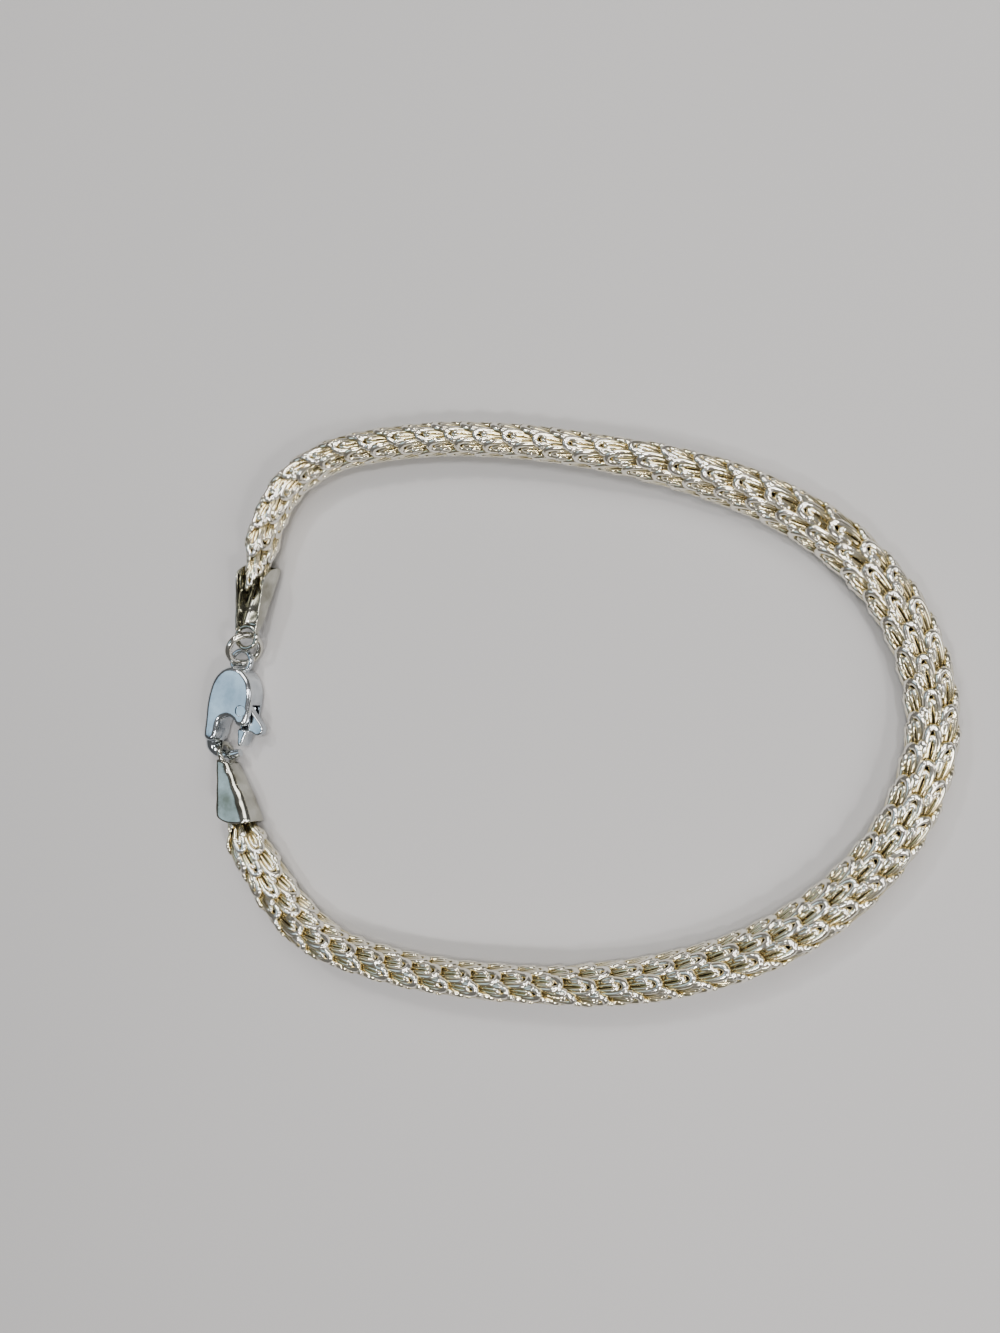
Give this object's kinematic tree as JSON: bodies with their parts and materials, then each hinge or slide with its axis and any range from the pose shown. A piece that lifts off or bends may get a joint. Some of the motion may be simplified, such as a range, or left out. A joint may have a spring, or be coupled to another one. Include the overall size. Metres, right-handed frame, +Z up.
{
  "type": "chain bracelet",
  "caption": "Oval woven chain bracelet with folded end caps, a jump ring and a lobster clasp with a sprung lever, lying fastened in a loop",
  "frame": {"origin": "middle of the bounding box in plan, on the surface that the bracelet lies on", "axes": "X along the length of the closed loop with the clasp at -X, Y across the loop with end cap a at +Y, Z up"},
  "size_m": [0.0762, 0.0582, 0.0048],
  "materials": {
    "chain_silver": "polished silver wire, warm in its gaps",
    "cap_silver": "polished silver sheet",
    "ring_silver": "polished silver wire",
    "clasp_silver": "polished cast silver"
  },
  "bodies": {
    "bracelet": {"chain": "chain_silver", "end_cap_a": "cap_silver", "end_cap_b": "cap_silver", "jump_ring": "ring_silver", "clasp_body": "clasp_silver", "clasp_pin": "ring_silver"},
    "lever": {"clasp_lever": "clasp_silver"}
  },
  "joints": [
    {"name": "lever_hinge", "type": "hinge", "parent": "bracelet", "child": "lever", "pos_m": [-0.03316, -0.00062, 0.00151], "axis": [0, 0, -1], "range_deg": [0, 25], "stiffness_Nm_per_rad": 0.002, "springref_deg": -5.73}
  ]
}
